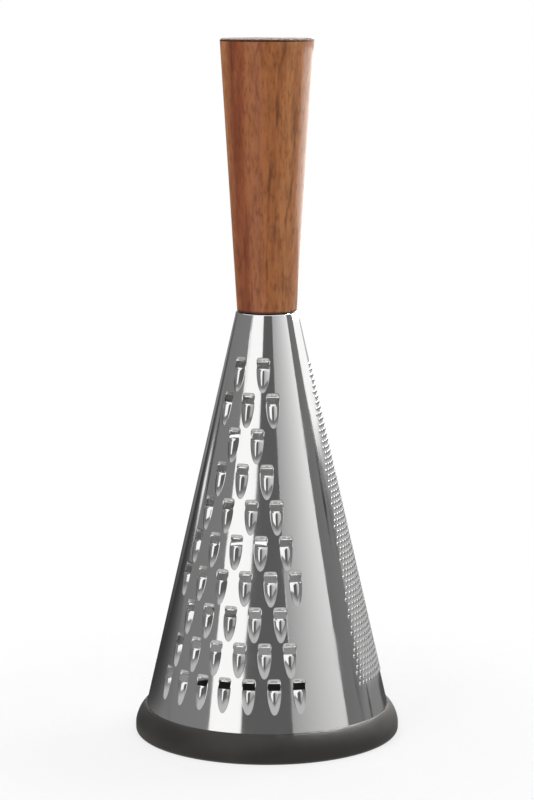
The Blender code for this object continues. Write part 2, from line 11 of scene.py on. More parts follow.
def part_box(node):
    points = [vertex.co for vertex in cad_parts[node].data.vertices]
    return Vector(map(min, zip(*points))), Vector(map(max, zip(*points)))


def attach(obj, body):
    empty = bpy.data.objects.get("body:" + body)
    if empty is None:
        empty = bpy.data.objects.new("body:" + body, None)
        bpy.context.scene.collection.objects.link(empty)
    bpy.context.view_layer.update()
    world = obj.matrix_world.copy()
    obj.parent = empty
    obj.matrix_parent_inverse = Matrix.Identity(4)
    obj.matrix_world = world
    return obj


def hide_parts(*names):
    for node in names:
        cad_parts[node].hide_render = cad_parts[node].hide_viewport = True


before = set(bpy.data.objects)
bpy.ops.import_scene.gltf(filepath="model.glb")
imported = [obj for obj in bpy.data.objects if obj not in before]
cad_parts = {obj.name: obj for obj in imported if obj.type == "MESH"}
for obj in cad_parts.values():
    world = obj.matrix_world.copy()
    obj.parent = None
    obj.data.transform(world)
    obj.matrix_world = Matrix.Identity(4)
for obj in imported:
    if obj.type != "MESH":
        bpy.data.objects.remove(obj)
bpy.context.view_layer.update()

MM = 0.001

# Cone: the places come from the frame, the neck and the wall are those of the solids.
# A slant is a distance from the apex, measured along the sheet.
CONE_LOW, CONE_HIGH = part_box("grater_cone")
FOOT_Z = CONE_LOW.z
TOP_Z = CONE_HIGH.z
FOOT_RADIUS = CONE_HIGH.x
NECK_RADIUS = 12.4 * MM
SHEET = 0.5 * MM
SHOULDER_RADIUS = 0.5 * MM
NECK_HOLE_RADIUS = 8.0 * MM
HALF_ANGLE = math.atan((FOOT_RADIUS - NECK_RADIUS) / (TOP_Z - FOOT_Z))
SIN_HALF = math.sin(HALF_ANGLE)
COS_HALF = math.cos(HALF_ANGLE)
APEX_Z = TOP_Z + NECK_RADIUS / math.tan(HALF_ANGLE)
CORNER_SLANT = NECK_RADIUS / SIN_HALF
FOOT_SLANT = FOOT_RADIUS / SIN_HALF
BEND = math.pi / 2 - HALF_ANGLE
BEND_STEPS = 5
BEND_TANGENT = SHOULDER_RADIUS * math.tan(BEND / 2)
SIDE_SLANT = CORNER_SLANT + BEND_TANGENT
FLANGE_SLANT = SIDE_SLANT - SHOULDER_RADIUS * BEND
FLANGE_RADIUS = NECK_RADIUS - BEND_TANGENT
HOLE_SLANT = FLANGE_SLANT - (FLANGE_RADIUS - NECK_HOLE_RADIUS)
RING_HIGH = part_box("base_ring")[1]
RING_TOP_SLANT = (APEX_Z - RING_HIGH.z) / COS_HALF
EDGE_TURN = math.pi * SIN_HALF
HANDLE_LOW, HANDLE_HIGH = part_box("handle")

# Coarse teeth
COARSE_ANGLE = 0.0
COARSE_SPAN = math.radians(96.8)
COARSE_FIRST_LIP = 21.4 * MM
COARSE_SCOOP = 9.6 * MM
COARSE_ROW_PITCH = 14.03 * MM
COARSE_COLUMN_PITCH = 10.04 * MM
COARSE_FOOT_MARGIN = 4.0 * MM
COARSE_COLUMNS = (0.0, 0.12, 0.24, 0.37, 0.5, 0.63, 0.76, 0.88, 1.0)

# Slicing slots
SLICER_ANGLE = math.radians(-120.0)
SLICER_SPAN = math.radians(95.5)
SLICER_FIRST_LIP = 32.0 * MM
SLICER_SCOOP = 8.5 * MM
SLICER_ROW_PITCH = 24.5 * MM
SLICER_COLUMN_PITCH = 26.5 * MM
SLICER_FOOT_MARGIN = 6.0 * MM
SLICER_COLUMNS = (0.0, 0.15, 0.3, 0.45, 0.6, 0.7, 0.78, 0.85, 0.91, 0.955, 1.0)

# Form of both kinds of pressed tooth: the lip's roll, then shares of a tooth's own sizes
LIP_ROLL = 0.7 * MM
LIP_CURL = 0.25
LIP_WALL = 0.55
CREST_DROP = 0.2
CREST_ROUND = 0.6
CREST_FLANK = 0.06
TIP_FADE = 0.12
TIP_ROW = 0.965
RECESS_ROWS = 7
RECESS_TOP_WIDTH = 0.70

# Fine punctures; a burr's rings are (radius, height, share of the wall) in millimetres
FINE_ANGLE = math.radians(120.0)
FINE_TOP_WIDTH = 14.6 * MM
FINE_FOOT_WIDTH = 74.0 * MM
FINE_TOP = CORNER_SLANT + 21.4 * MM
FINE_FOOT = RING_TOP_SLANT - 13.2 * MM
FINE_PITCH = 2.6 * MM
FINE_ROW_PITCH = FINE_PITCH * math.sqrt(3) / 2
FINE_SIDES = 6
FINE_MOST_TURN = 0.4
FINE_SEED = 7
BURR_RINGS = ((0.94, 0.0, 1.0), (0.74, 0.07, 0.9), (0.58, 0.30, 0.6), (0.45, 0.36, 0.4))
BURR_SMOOTH_BELOW = 0.2
BURR_TEAR = 0.22

# Lines that the plain sheet is divided by
LINE_COUNT = 120
LINE_SAMPLE = 0.4 * MM
LINE_SHORTEST = 1.5 * MM
LINE_POINT_PITCH = 12.0 * MM
TOOTH_CLEARANCE = 0.45 * MM
PANEL_ROW_CLEARANCE = 1.6 * MM
PANEL_SIDE_CLEARANCE = 2.0 * MM

# Numerical slack, in metres unless named otherwise
POINT_SLACK = 1e-9
MERGE_SLACK = 1e-7
EDGE_SLACK = 2e-6
SEAM_SLACK_RADIANS = 1e-5
WELD_REACH = 4e-6
SPIN_REACH = 5e-6

# Camera, with its focal length in pixels of the photograph
CAMERA_AZIMUTH = math.radians(21.8)
CAMERA_DISTANCE = 1.06
CAMERA_HEIGHT = 0.3021
CAMERA_PITCH = 0.1554
CAMERA_FOCAL = 2672.0
IMAGE_HEIGHT = 800.0
SENSOR = 36.0

# Light: the share that the polished steel sends back, the world's strength, plain colours and
# the height that the lamps aim at
METAL_LEVEL = 0.93
SOFT_LIGHT = 0.5
WHITE = (1.0, 1.0, 1.0, 1.0)
PAPER = (0.9, 0.9, 0.9, 1.0)
LAMP_AIM_HEIGHT = 0.14


def sheet_point(slant, angle, height):
    """Place of a point of the rolled sheet, raised by height over its outer skin."""
    if slant >= SIDE_SLANT:
        radius = slant * SIN_HALF + height * COS_HALF
        z = APEX_Z - slant * COS_HALF + height * SIN_HALF
    elif slant >= FLANGE_SLANT:
        turn = HALF_ANGLE + (SIDE_SLANT - slant) / SHOULDER_RADIUS
        radius = FLANGE_RADIUS + (SHOULDER_RADIUS + height) * math.cos(turn)
        z = TOP_Z - SHOULDER_RADIUS + (SHOULDER_RADIUS + height) * math.sin(turn)
    else:
        radius = FLANGE_RADIUS - (FLANGE_SLANT - slant)
        z = TOP_Z + height
    return Vector((radius * math.sin(angle), -radius * math.cos(angle), z))


def sheet_normal(slant, angle):
    """Outward direction of the plain sheet."""
    if slant >= SIDE_SLANT:
        rise = HALF_ANGLE
    elif slant >= FLANGE_SLANT:
        rise = HALF_ANGLE + (SIDE_SLANT - slant) / SHOULDER_RADIUS
    else:
        rise = math.pi / 2
    return Vector((math.cos(rise) * math.sin(angle), -math.cos(rise) * math.cos(angle),
                   math.sin(rise)))


def flat_point(slant, angle):
    """Point of the flat sheet for a slant and an angle round the cone."""
    turn = angle * SIN_HALF
    return Vector((slant * math.sin(turn), slant * math.cos(turn)))


def tooth_point(angle, down, u, v):
    """Point of the flat sheet at (u, v) from a tooth's place; v runs down the cone."""
    turn = angle * SIN_HALF
    return Vector((u * math.cos(turn) + (down + v) * math.sin(turn),
                   (down + v) * math.cos(turn) - u * math.sin(turn)))


def arc_angle(length, slant):
    """Angle round the cone of an arc length at a slant."""
    return length / (slant * SIN_HALF)


def line_angle(i):
    """Angle round the cone of a dividing line, counted from seam to seam."""
    return -math.pi + 2 * math.pi * i / LINE_COUNT


def smooth(value):
    """Smoothstep from 0 to 1."""
    value = min(1.0, max(0.0, value))
    return value * value * (3.0 - 2.0 * value)


class Tooth:
    """A punched form: (u, v, height) points, its outline's points, faces and wall shares."""

    def __init__(self, points, outline, faces, shares):
        self.points = points
        self.outline = outline
        self.faces = faces
        self.shares = shares
        us = [points[i][0] for i in outline]
        vs = [points[i][1] for i in outline]
        self.reach = (min(us), max(us), min(vs), max(vs))


def crest(x):
    """Cross-section of a coarse scoop: steep flanks under a rounded crest."""
    roof = (math.hypot(x, CREST_ROUND) - CREST_ROUND) / (math.hypot(1.0, CREST_ROUND) - CREST_ROUND)
    rise = max(0.0, 1.0 - roof)
    return rise * rise / (rise + CREST_FLANK) * (1.0 + CREST_FLANK)


def arch(x):
    """Cross-section of a slicing form: broad, flat-topped, faded at the ends."""
    return (1.0 - abs(x) ** 8) ** 1.5


def pressed_tooth(half, recess, slot, scoop, lip, dip, section, columns, scoop_rows):
    """A pressed form round a slot: a recess above it and a raised cutting scoop below.

    v is 0 at the cutting lip. The slot lies above it and the recess above the slot.
    """
    top = -slot - recess
    rows = [top + recess * j / RECESS_ROWS for j in range(RECESS_ROWS + 1)]
    rows += [-slot * 2 / 3, -slot / 3, 0.0, LIP_ROLL * 0.4, LIP_ROLL]
    rows += [max(scoop * math.sin(math.pi / 2 * TIP_ROW * j / scoop_rows),
                 LIP_ROLL * (1.0 + 0.5 * j)) for j in range(1, scoop_rows + 1)]
    sides = [-x for x in reversed(columns[1:])] + list(columns)
    open_side = columns[-2]

    def half_at(v):
        if v > 0:
            return half * math.sqrt(max(0.0, 1.0 - (v / scoop) ** 2))
        if v > -slot:
            return half
        widening = math.sin(math.pi / 2 * (v - top) / recess) ** 0.5
        return half * (RECESS_TOP_WIDTH + (1.0 - RECESS_TOP_WIDTH) * widening)

    def recess_height(x, v):
        share = (v - top) / recess
        curl = LIP_CURL * smooth((share - 0.7) / 0.3)
        return -dip * (1.0 - abs(x) ** 4) ** 1.3 * max(0.0, smooth(share * 1.1) - curl)

    def scoop_height(x, v):
        end = smooth((1.0 - v / scoop) / TIP_FADE)
        fall = 1.0 - CREST_DROP * (1.0 - smooth(v / LIP_ROLL))
        return lip * half_at(v) / half * end * fall * section(x)

    def height_at(x, v):
        if v >= 0:
            return scoop_height(x, v)
        if v <= -slot:
            return recess_height(x, v)
        share = smooth(1.0 + v / slot)
        return recess_height(x, -slot) * (1.0 - share) + scoop_height(x, 0.0) * share

    points = []
    shares = {}
    for v in rows:
        for x in sides:
            if v >= 0:
                shares[len(points)] = LIP_WALL + (1.0 - LIP_WALL) * smooth(v / (3 * LIP_ROLL))
            points.append((half_at(v) * x, v, height_at(x, v)))
    width = len(sides)
    faces = []
    for j in range(len(rows) - 1):
        on_slot = -slot - POINT_SLACK < rows[j] and rows[j + 1] < POINT_SLACK
        for i in range(width - 1):
            if on_slot and abs(sides[i] + sides[i + 1]) / 2 < open_side:
                continue
            first = j * width + i
            faces.append((first, first + 1, first + width + 1, first + width))
    last = (len(rows) - 1) * width
    outline = list(range(width))
    outline += [j * width + width - 1 for j in range(1, len(rows))]
    outline += [last + i for i in range(width - 2, -1, -1)]
    outline += [j * width for j in range(len(rows) - 2, 0, -1)]
    return Tooth(points, outline, faces, shares)


def fine_tooth(turn):
    """A puncture with a torn burr raised round its hole."""
    points = []
    shares = {}
    for radius, height, share in BURR_RINGS:
        for i in range(FINE_SIDES):
            angle = turn + 2 * math.pi * i / FINE_SIDES
            tear = BURR_TEAR * (1 if i % 2 else -1) if height > BURR_SMOOTH_BELOW else 0.0
            shares[len(points)] = share
            points.append((radius * MM * math.cos(angle), radius * MM * math.sin(angle),
                           height * (1.0 + tear) * MM))
    faces = []
    for ring in range(len(BURR_RINGS) - 1):
        for i in range(FINE_SIDES):
            after = (i + 1) % FINE_SIDES
            low, high = ring * FINE_SIDES, (ring + 1) * FINE_SIDES
            faces.append((low + i, low + after, high + after, high + i))
    return Tooth(points, list(range(FINE_SIDES)), faces, shares)


def arc_places(centre, span, first_lip, scoop, margin, row_pitch, column_pitch, odd_rule):
    """Cutting-edge centres in rows round the cone, as (angle, slant).

    By the odd rule the rows hold even and odd numbers of teeth by turns.
    """
    places = []
    row = 0
    down = CORNER_SLANT + first_lip
    while down + scoop + margin < RING_TOP_SLANT:
        count = max(1, int(down * SIN_HALF * span / column_pitch))
        if odd_rule and count % 2 != row % 2:
            count -= 1
        for i in range(count):
            across = (i - (count - 1) / 2) * column_pitch
            places.append((centre + arc_angle(across, down), down))
        row += 1
        down += row_pitch
    return places


def fine_half_width(down):
    """Half the fine panel's width, measured round the cone."""
    share = (down - FINE_TOP) / (FINE_FOOT - FINE_TOP)
    return (FINE_TOP_WIDTH + (FINE_FOOT_WIDTH - FINE_TOP_WIDTH) * share) / 2


def fine_places():
    """Centres of the fine punctures, in staggered rows, as (angle, slant)."""
    places = []
    row = 0
    down = FINE_TOP
    while down <= FINE_FOOT:
        half = fine_half_width(down)
        offset = FINE_PITCH / 2 if row % 2 else 0.0
        columns = int(half / FINE_PITCH) + 1
        for i in range(-columns, columns + 1):
            across = i * FINE_PITCH + offset
            if abs(across) <= half:
                places.append((FINE_ANGLE + arc_angle(across, down), down))
        row += 1
        down += FINE_ROW_PITCH
    return places


def in_fine_panel(slant, angle):
    """Whether a point of the sheet lies within the fine panel's border."""
    across = abs(angle - FINE_ANGLE) * SIN_HALF * slant
    return (FINE_TOP - PANEL_ROW_CLEARANCE < slant < FINE_FOOT + PANEL_ROW_CLEARANCE
            and across < fine_half_width(slant) + PANEL_SIDE_CLEARANCE)


class Blank:
    """The flat sheet: points, the tooth that each belongs to (-1 is none) and kept edges."""

    def __init__(self):
        self.points = []
        self.owner = []
        self.edges = []
        self.teeth = []
        self.keep_out = []

    def add(self, point, owner=-1):
        """Add a point and give its number."""
        self.points.append(point)
        self.owner.append(owner)
        return len(self.points) - 1

    def chain(self, numbers):
        """Keep the edges from each point to the next."""
        self.edges += list(zip(numbers, numbers[1:]))

    def punch(self, tooth, angle, down):
        """Place one tooth's outline."""
        number = len(self.teeth)
        outline = [self.add(tooth_point(angle, down, *tooth.points[i][:2]), number)
                   for i in tooth.outline]
        self.chain(outline + outline[:1])
        self.teeth.append((tooth, angle, down, outline))

    def keep_clear(self):
        """Keep later lines off the teeth that are placed by now."""
        self.keep_out = [(angle, down, tooth.reach) for tooth, angle, down, _ in self.teeth]

    def blocked(self, point, margin):
        """Whether a point lies on a tooth or near one."""
        for angle, down, (left, right, high, low) in self.keep_out:
            turn = angle * SIN_HALF
            u = point.x * math.cos(turn) - point.y * math.sin(turn)
            v = point.x * math.sin(turn) + point.y * math.cos(turn) - down
            if left - margin < u < right + margin and high - margin < v < low + margin:
                return True
        return False


def arc_of_points(blank, slant):
    """An arc of the flat sheet from seam to seam."""
    numbers = [blank.add(flat_point(slant, line_angle(i))) for i in range(LINE_COUNT + 1)]
    blank.chain(numbers)
    return numbers


def draw_line(blank, angle, start, stop, neck, foot):
    """One straight line down the cone; at the neck and the foot it ends in points of those."""
    numbers = []
    spans = max(1, round((stop - start) / LINE_POINT_PITCH))
    for k in range(spans + 1):
        slant = start + (stop - start) * k / spans
        if slant <= SIDE_SLANT + POINT_SLACK:
            numbers.append(neck)
        elif slant >= FOOT_SLANT - POINT_SLACK:
            numbers.append(foot)
        else:
            numbers.append(blank.add(flat_point(slant, angle)))
    blank.chain(numbers)


def draw_lines(blank, neck, foot):
    """Straight lines down the cone where no tooth and no fine panel is in the way."""
    count = int((FOOT_SLANT - SIDE_SLANT) / LINE_SAMPLE)
    for i in range(LINE_COUNT + 1):
        angle = line_angle(i)
        run = []
        for j in range(count + 1):
            slant = SIDE_SLANT + (FOOT_SLANT - SIDE_SLANT) * j / count
            free = (not in_fine_panel(slant, angle)
                    and not blank.blocked(flat_point(slant, angle), TOOTH_CLEARANCE))
            if free:
                run.append(slant)
            if run and (not free or j == count):
                if run[-1] - run[0] > LINE_SHORTEST:
                    draw_line(blank, angle, run[0], run[-1], neck[i], foot[i])
                run = []


def outside_blank(corners):
    """Whether a triangle lies past the neck hole or along a straight edge of the sheet."""
    past_neck = all(corner.length < HOLE_SLANT + EDGE_SLACK for corner in corners)
    turns = [math.atan2(corner.x, corner.y) for corner in corners]
    return (past_neck or min(turns) > EDGE_TURN - EDGE_SLACK
            or max(turns) < EDGE_SLACK - EDGE_TURN)


def clockwise(corners, places):
    """The corners in the order that faces out once the sheet is rolled."""
    area = 0.0
    for a, b in zip(corners, corners[1:] + corners[:1]):
        area += places[a].x * places[b].y - places[b].x * places[a].y
    return tuple(reversed(corners)) if area > 0 else corners


def punched_blank():
    """The flat sheet with every tooth's outline, its arcs and its lines."""
    blank = Blank()
    coarse = pressed_tooth(half=2.8 * MM, recess=1.8 * MM, slot=2.75 * MM, scoop=COARSE_SCOOP,
                           lip=1.4 * MM, dip=0.9 * MM, section=crest, columns=COARSE_COLUMNS,
                           scoop_rows=12)
    slicer = pressed_tooth(half=11.0 * MM, recess=3.0 * MM, slot=2.2 * MM, scoop=SLICER_SCOOP,
                           lip=1.5 * MM, dip=0.9 * MM, section=arch, columns=SLICER_COLUMNS,
                           scoop_rows=9)
    for angle, down in arc_places(COARSE_ANGLE, COARSE_SPAN, COARSE_FIRST_LIP, COARSE_SCOOP,
                                  COARSE_FOOT_MARGIN, COARSE_ROW_PITCH, COARSE_COLUMN_PITCH, True):
        blank.punch(coarse, angle, down)
    for angle, down in arc_places(SLICER_ANGLE, SLICER_SPAN, SLICER_FIRST_LIP, SLICER_SCOOP,
                                  SLICER_FOOT_MARGIN, SLICER_ROW_PITCH, SLICER_COLUMN_PITCH, False):
        blank.punch(slicer, angle, down)
    blank.keep_clear()
    dice = random.Random(FINE_SEED)
    for angle, down in fine_places():
        blank.punch(fine_tooth(dice.uniform(0.0, FINE_MOST_TURN)), angle, down)

    bends = [FLANGE_SLANT + (SIDE_SLANT - FLANGE_SLANT) * i / BEND_STEPS
             for i in range(BEND_STEPS + 1)]
    arcs = [arc_of_points(blank, slant) for slant in [HOLE_SLANT] + bends]
    for upper, lower in zip(arcs, arcs[1:]):
        blank.edges += list(zip(upper, lower))
    foot = arc_of_points(blank, FOOT_SLANT)
    draw_lines(blank, arcs[-1], foot)
    return blank


def cone_surface():
    """Outer skin of the cone, still flat: places, heights, wall shares and faces.

    The plain sheet's points and faces come first, and their numbers are given last.
    """
    blank = punched_blank()
    result = delaunay_2d_cdt(blank.points, blank.edges, [], 0, MERGE_SLACK)
    flat, triangles, sources = result[0], result[2], result[3]
    owner = [blank.owner[source[0]] if source else -1 for source in sources]
    number_of = {source: i for i, group in enumerate(sources) for source in group}
    places = [Vector(point) for point in flat]
    heights = [0.0] * len(places)
    shares = [1.0] * len(places)
    faces = []
    for triangle in triangles:
        owners = {owner[corner] for corner in triangle}
        if len(owners) == 1 and -1 not in owners:
            continue
        if not outside_blank([places[corner] for corner in triangle]):
            faces.append(clockwise(tuple(triangle), places))
    plain_points, plain_faces = len(places), len(faces)
    for tooth, angle, down, outline in blank.teeth:
        numbers = {}
        for local, corner in zip(tooth.outline, outline):
            numbers[local] = number_of[corner]
            heights[number_of[corner]] = tooth.points[local][2]
            shares[number_of[corner]] = tooth.shares.get(local, 1.0)
        for local, (u, v, height) in enumerate(tooth.points):
            if local not in numbers:
                numbers[local] = len(places)
                places.append(tooth_point(angle, down, u, v))
                heights.append(height)
                shares.append(tooth.shares.get(local, 1.0))
        for face in tooth.faces:
            faces.append(clockwise(tuple(numbers[corner] for corner in face), places))
    return places, heights, shares, faces, plain_points, plain_faces


def vertex_normals(points, faces):
    """Area-weighted normals of the given faces' corners."""
    sums = np.zeros((len(points), 3))
    for face in faces:
        corners = points[list(face)]
        normal = np.zeros(3)
        for i in range(1, len(face) - 1):
            normal += np.cross(corners[i] - corners[0], corners[i + 1] - corners[0])
        sums[list(face)] += normal
    lengths = np.linalg.norm(sums, axis=1)
    lengths[lengths < 1e-15] = 1.0
    return sums / lengths[:, None]


def add_object(name, data):
    """Put an object into the scene."""
    piece = bpy.data.objects.new(name, data)
    bpy.context.scene.collection.objects.link(piece)
    return piece


def make_sheet(name):
    """The whole punched cone as a closed sheet with exact normals on its plain parts."""
    places, heights, shares, faces, plain_points, plain_faces = cone_surface()
    count = len(places)
    turns = [math.atan2(place.x, place.y) for place in places]
    angles = [turn / SIN_HALF for turn in turns]
    slants = [place.length for place in places]
    outer = np.array([sheet_point(s, a, h) for s, a, h in zip(slants, angles, heights)])
    inner = np.array([sheet_point(s, a, h - SHEET * share)
                      for s, a, h, share in zip(slants, angles, heights, shares)])
    outer_normals = np.array([sheet_normal(s, a) for s, a in zip(slants, angles)])
    inner_normals = -outer_normals
    pressed = faces[plain_faces:]
    outer_normals[plain_points:] = vertex_normals(outer, pressed)[plain_points:]
    inner_normals[plain_points:] = -vertex_normals(inner, pressed)[plain_points:]
    normals = np.vstack([outer_normals, inner_normals]).tolist()

    inside = [tuple(corner + count for corner in reversed(face)) for face in faces]
    edges = dict.fromkeys((a, b) for face in faces for a, b in zip(face, face[1:] + face[:1]))
    on_seam = [abs(abs(turn) - EDGE_TURN) < SEAM_SLACK_RADIANS for turn in turns]
    rims = [(b, a, a + count, b + count) for a, b in edges
            if (b, a) not in edges and not (on_seam[a] and on_seam[b])]
    mesh = bpy.data.meshes.new(name)
    mesh.from_pydata(np.vstack([outer, inner]).tolist(), [], faces + inside + rims)
    rim_start = 2 * len(faces)
    for polygon in mesh.polygons[len(faces):rim_start]:
        polygon.material_index = 1
    mesh.update()
    corner_normals = []
    for polygon in mesh.polygons:
        if polygon.index >= rim_start:
            corner_normals += [tuple(polygon.normal)] * polygon.loop_total
        else:
            corner_normals += [normals[corner] for corner in polygon.vertices]
    mesh.normals_split_custom_set(corner_normals)
    weld_seam(mesh)
    return add_object(name, mesh)


def weld_seam(mesh):
    """Join the two straight edges of the rolled sheet."""
    work = bmesh.new()
    work.from_mesh(mesh)
    seam = [v for v in work.verts if v.co.y > 0 and abs(v.co.x) < EDGE_SLACK]
    bmesh.ops.remove_doubles(work, verts=seam, dist=WELD_REACH)
    work.to_mesh(mesh)
    work.free()


def turned(name, profile, steps):
    """A turned piece: a closed or axis-to-axis profile in (radius, height), spun about Z."""
    closed = profile[0] == profile[-1]
    points = profile[:-1] if closed else profile
    mesh = bpy.data.meshes.new(name)
    edges = [(i, i + 1) for i in range(len(points) - 1)]
    if closed:
        edges.append((len(points) - 1, 0))
    mesh.from_pydata([(radius, 0.0, height) for radius, height in points], edges, [])
    piece = add_object(name, mesh)
    screw = piece.modifiers.new("spin", "SCREW")
    screw.axis = "Z"
    screw.steps = steps
    screw.render_steps = steps
    screw.use_merge_vertices = True
    screw.merge_threshold = SPIN_REACH
    evaluated = piece.evaluated_get(bpy.context.evaluated_depsgraph_get())
    solid = bpy.data.meshes.new_from_object(evaluated)
    piece.modifiers.clear()
    piece.data = solid
    solid.shade_smooth()
    solid.set_sharp_from_angle(angle=math.radians(40.0))
    return piece


def arc(centre, radius, start_degrees, end_degrees, steps):
    """Points on an arc in the (radius, height) plane."""
    points = []
    for i in range(steps + 1):
        angle = math.radians(start_degrees + (end_degrees - start_degrees) * i / steps)
        points.append((centre[0] + radius * math.cos(angle), centre[1] + radius * math.sin(angle)))
    return points


def linear(level):
    """Linear value of an 8-bit display level."""
    value = level / 255.0
    return value / 12.92 if value <= 0.04045 else ((value + 0.055) / 1.055) ** 2.4


def tone(red, green, blue):
    """Linear colour of an 8-bit display colour."""
    return (linear(red), linear(green), linear(blue))


# Wood: the stripes run from the left edge of the figure (0) to its right edge (1)
BARK_BROWN = tone(198, 128, 78)
RED_BROWN = tone(144, 74, 43)
ROSY_BROWN = tone(171, 106, 70)
GOLDEN_BROWN = tone(176, 108, 60)
TAN = tone(193, 127, 78)
VEIN_BROWN = tone(96, 50, 26)
FOOT_SHADOW = tone(40, 28, 22)
WOOD_STRIPES = ((0.04, BARK_BROWN), (0.12, RED_BROWN), (0.21, RED_BROWN), (0.27, ROSY_BROWN),
                (0.42, ROSY_BROWN), (0.50, GOLDEN_BROWN), (0.60, GOLDEN_BROWN), (0.72, TAN))
WOOD_SHADES = ((0.42, (0.52, 0.46, 0.42)), (0.56, (0.79, 0.77, 0.75)), (0.72, (1.0, 1.0, 0.97)))
END_GRAIN = ((0.0, tone(52, 33, 20)), (1.0, tone(78, 50, 31)))
# Turn of the figure about the handle's axis
WOOD_TURN = math.radians(-21.8)
# Darker lines: strength, then low and high end, places across at both ends, width and seed
WOOD_VEINS = ((0.75, (0.222, 0.280, 0.06, 0.38, 0.07, 7.0)),
              (0.70, (0.208, 0.224, 0.50, 0.66, 0.05, 11.0)),
              (0.55, (0.172, 0.222, -0.02, 0.04, 0.07, 17.0)),
              (0.55, (0.206, 0.213, 0.25, 0.30, 0.09, 23.0)),
              (0.40, (0.225, 0.278, 0.62, 0.74, 0.06, 31.0)),
              (0.45, (0.185, 0.205, 0.12, 0.2, 0.07, 41.0)))
# How often the wood's noises change per metre, across the grain and along it
SWAY = (70.0, 70.0, 16.0)
BANDS = (260.0, 260.0, 9.0)
PATCHES = (170.0, 170.0, 48.0)
MOTTLE = (420.0, 420.0, 140.0)
STREAKS = (900.0, 900.0, 22.0)
FLECKS = (900.0, 900.0, 260.0)
PORES = (2600.0, 2600.0, 190.0)
VEIN_WOBBLE = (1.0, 1.0, 110.0)
VEIN_BREAKS = (700.0, 700.0, 60.0)

RUBBER_SHADES = ((0.35, (0.021, 0.019, 0.016)), (0.75, (0.032, 0.029, 0.024)))
ROLLING_MARKS = (420.0, 420.0, 12.0)


class Tree:
    """Nodes of a material or a world, started empty."""

    def __init__(self, owner):
        owner.use_nodes = True
        self.tree = owner.node_tree
        self.tree.nodes.clear()

    def node(self, kind, **values):
        """A new node with some of its properties set."""
        node = self.tree.nodes.new(kind)
        for key, value in values.items():
            setattr(node, key, value)
        return node

    def set(self, sockets, values):
        """Feed sockets with other nodes' outputs or with plain values."""
        for socket, value in zip(sockets, values):
            if isinstance(value, bpy.types.NodeSocket):
                self.tree.links.new(value, socket)
            else:
                socket.default_value = value

    def feed(self, node, **values):
        """Feed a node's sockets by name, such as base_color."""
        names = [key.replace("_", " ").title().replace("Ior", "IOR") for key in values]
        self.set([node.inputs[name] for name in names], values.values())
        return node

    def math(self, operation, *terms):
        """Result of an operation on one to three terms."""
        node = self.node("ShaderNodeMath", operation=operation)
        self.set(node.inputs, terms)
        return node.outputs[0]

    def span(self, value, low, high, to_low=0.0, to_high=1.0, soft=False):
        """A value moved from one range to another and held at its ends."""
        node = self.node("ShaderNodeMapRange",
                         interpolation_type="SMOOTHSTEP" if soft else "LINEAR")
        self.feed(node, value=value, from_min=low, from_max=high, to_min=to_low, to_max=to_high)
        return node.outputs["Result"]

    def seen(self):
        """1 for rays from the eye, from a reflection and through something clear."""
        rays = self.node("ShaderNodeLightPath").outputs
        seen = self.math("MAXIMUM", rays["Is Camera Ray"], rays["Is Glossy Ray"])
        return self.math("MAXIMUM", seen, rays["Is Transmission Ray"])

    def close(self, kind, *shaders, factor=None):
        """Send a shader, or a mix of two by a factor, to the output."""
        result = shaders[0].outputs[0]
        if factor is not None:
            mix = self.node("ShaderNodeMixShader")
            self.set(mix.inputs, (factor, result, shaders[1].outputs[0]))
            result = mix.outputs[0]
        self.feed(self.node(kind), surface=result)


class Surface(Tree):
    """A Principled material under construction."""

    def __init__(self, name):
        self.material = bpy.data.materials.new(name)
        super().__init__(self.material)
        self.shader = self.node("ShaderNodeBsdfPrincipled")
        self.close("ShaderNodeOutputMaterial", self.shader)
        self.place = self.node("ShaderNodeTexCoord").outputs["Object"]

    def stretch(self, vector, scale, location=(0.0, 0.0, 0.0), turn=0.0):
        """A vector scaled, moved and turned about Z."""
        node = self.feed(self.node("ShaderNodeMapping"), vector=vector, scale=scale,
                         location=location, rotation=(0.0, 0.0, turn))
        return node.outputs["Vector"]

    def noise(self, vector, scale=1.0, detail=2.0, roughness=0.5):
        """Soft noise from 0 to 1."""
        node = self.feed(self.node("ShaderNodeTexNoise"), vector=vector, scale=scale,
                         detail=detail, roughness=roughness)
        return node.outputs["Fac"]

    def ramp(self, value, stops):
        """A colour from (position, colour) stops."""
        node = self.feed(self.node("ShaderNodeValToRGB"), fac=value)
        elements = node.color_ramp.elements
        while len(elements) < len(stops):
            elements.new(0.5)
        for element, (position, colour) in zip(elements, stops):
            element.position = position
            element.color = (*colour, 1.0)
        return node.outputs["Color"]

    def mix(self, factor, first, second, blend="MIX"):
        """Two colours blended; the second may be a plain colour."""
        node = self.feed(self.node("ShaderNodeMixRGB", blend_type=blend), fac=factor, color1=first,
                         color2=(*second, 1.0) if isinstance(second, tuple) else second)
        return node.outputs["Color"]

    def relief(self, height, strength, distance):
        """Fine relief under the light."""
        bump = self.feed(self.node("ShaderNodeBump"), height=height, strength=strength,
                         distance=distance)
        self.feed(self.shader, normal=bump.outputs["Normal"])


def steel_material(name, colour, low, high, bump):
    """Metal with rolling marks down the cone and faint wipe marks; low and high roughness."""
    graph = Surface(name)
    marks = graph.noise(graph.stretch(graph.place, ROLLING_MARKS), detail=4.0)
    smears = graph.noise(graph.place, 45.0, 3.0)
    wear = graph.math("MULTIPLY", marks, smears)
    graph.feed(graph.shader, base_color=(*colour, 1.0), metallic=1.0,
               roughness=graph.span(wear, 0.15, 0.4, low, high))
    graph.relief(marks, bump, 0.04 * MM)
    return graph.material


